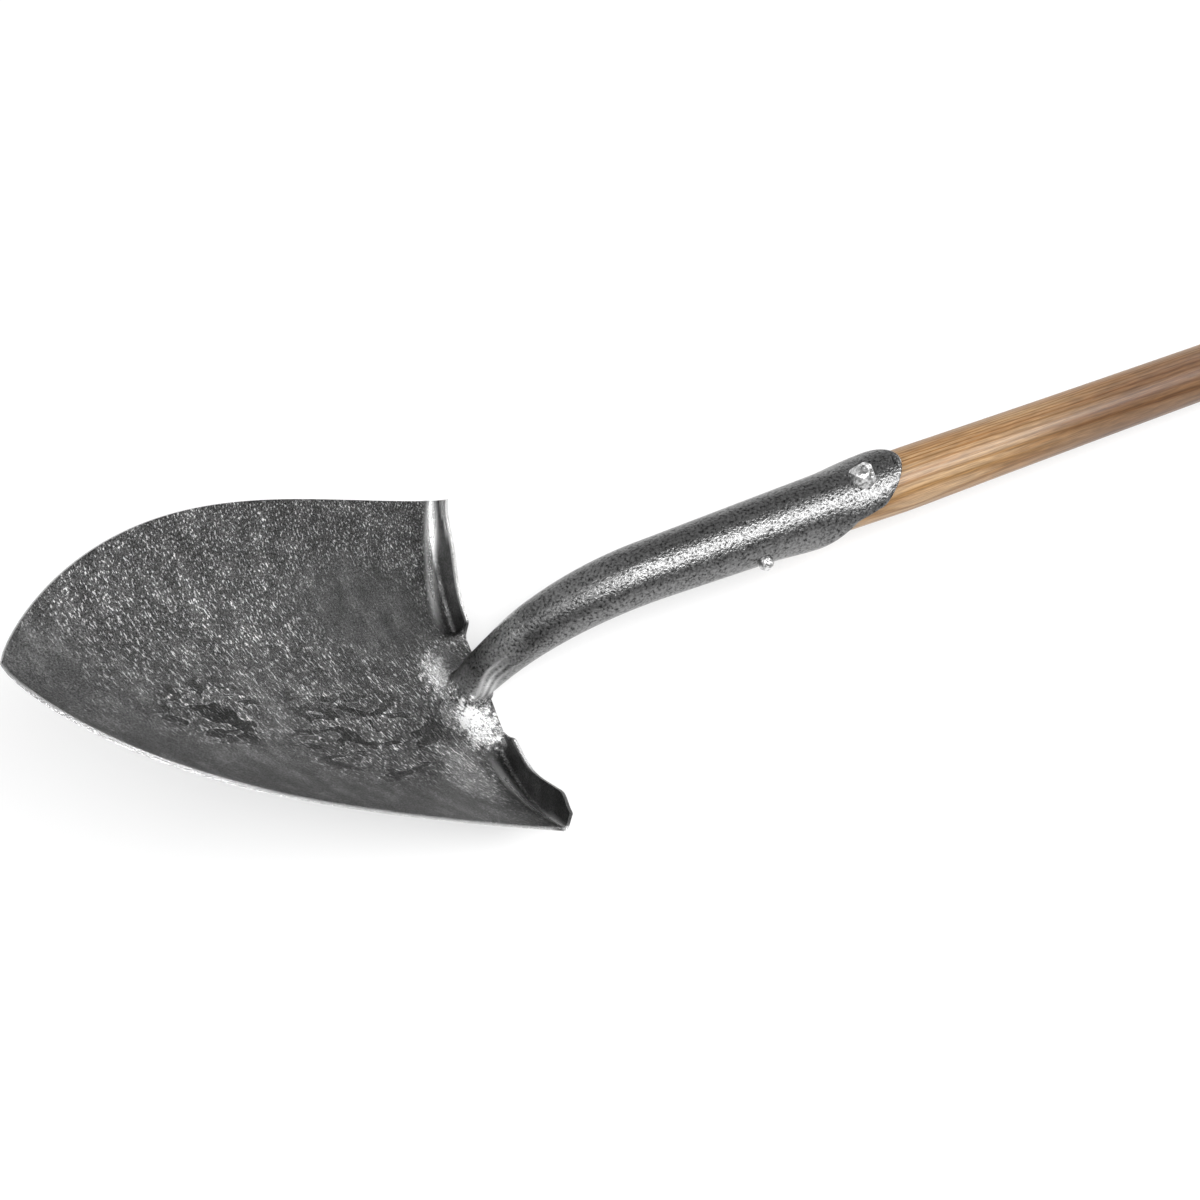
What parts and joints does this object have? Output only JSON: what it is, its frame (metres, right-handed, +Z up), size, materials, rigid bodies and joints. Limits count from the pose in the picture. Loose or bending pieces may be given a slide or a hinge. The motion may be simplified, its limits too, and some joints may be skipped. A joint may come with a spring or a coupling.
{
  "type": "forestry shovel",
  "caption": "Long-handled pointed shovel: one forged blade, neck and socket with turned foot steps, riveted to a straight ash handle.",
  "frame": {"origin": "middle of the ground plan at ground height, where the blade's heel and the handle's butt rest", "axes": "+X towards the butt of the handle, which dips 3.2 degrees below it; +Z up, the side that the dish and the foot steps face; +Y across the blade"},
  "size_m": [1.4126, 0.235, 0.2331],
  "materials": {
    "forged_steel": "bare forged steel, dull grey with scale and fine scratches",
    "ash_wood": "satin clear lacquer over ash",
    "rivet_steel": "hammered bright steel"
  },
  "bodies": {
    "root": {"blade_and_socket": "forged_steel", "handle": "ash_wood", "front_rivet": "rivet_steel", "side_rivet": "rivet_steel"}
  },
  "joints": []
}
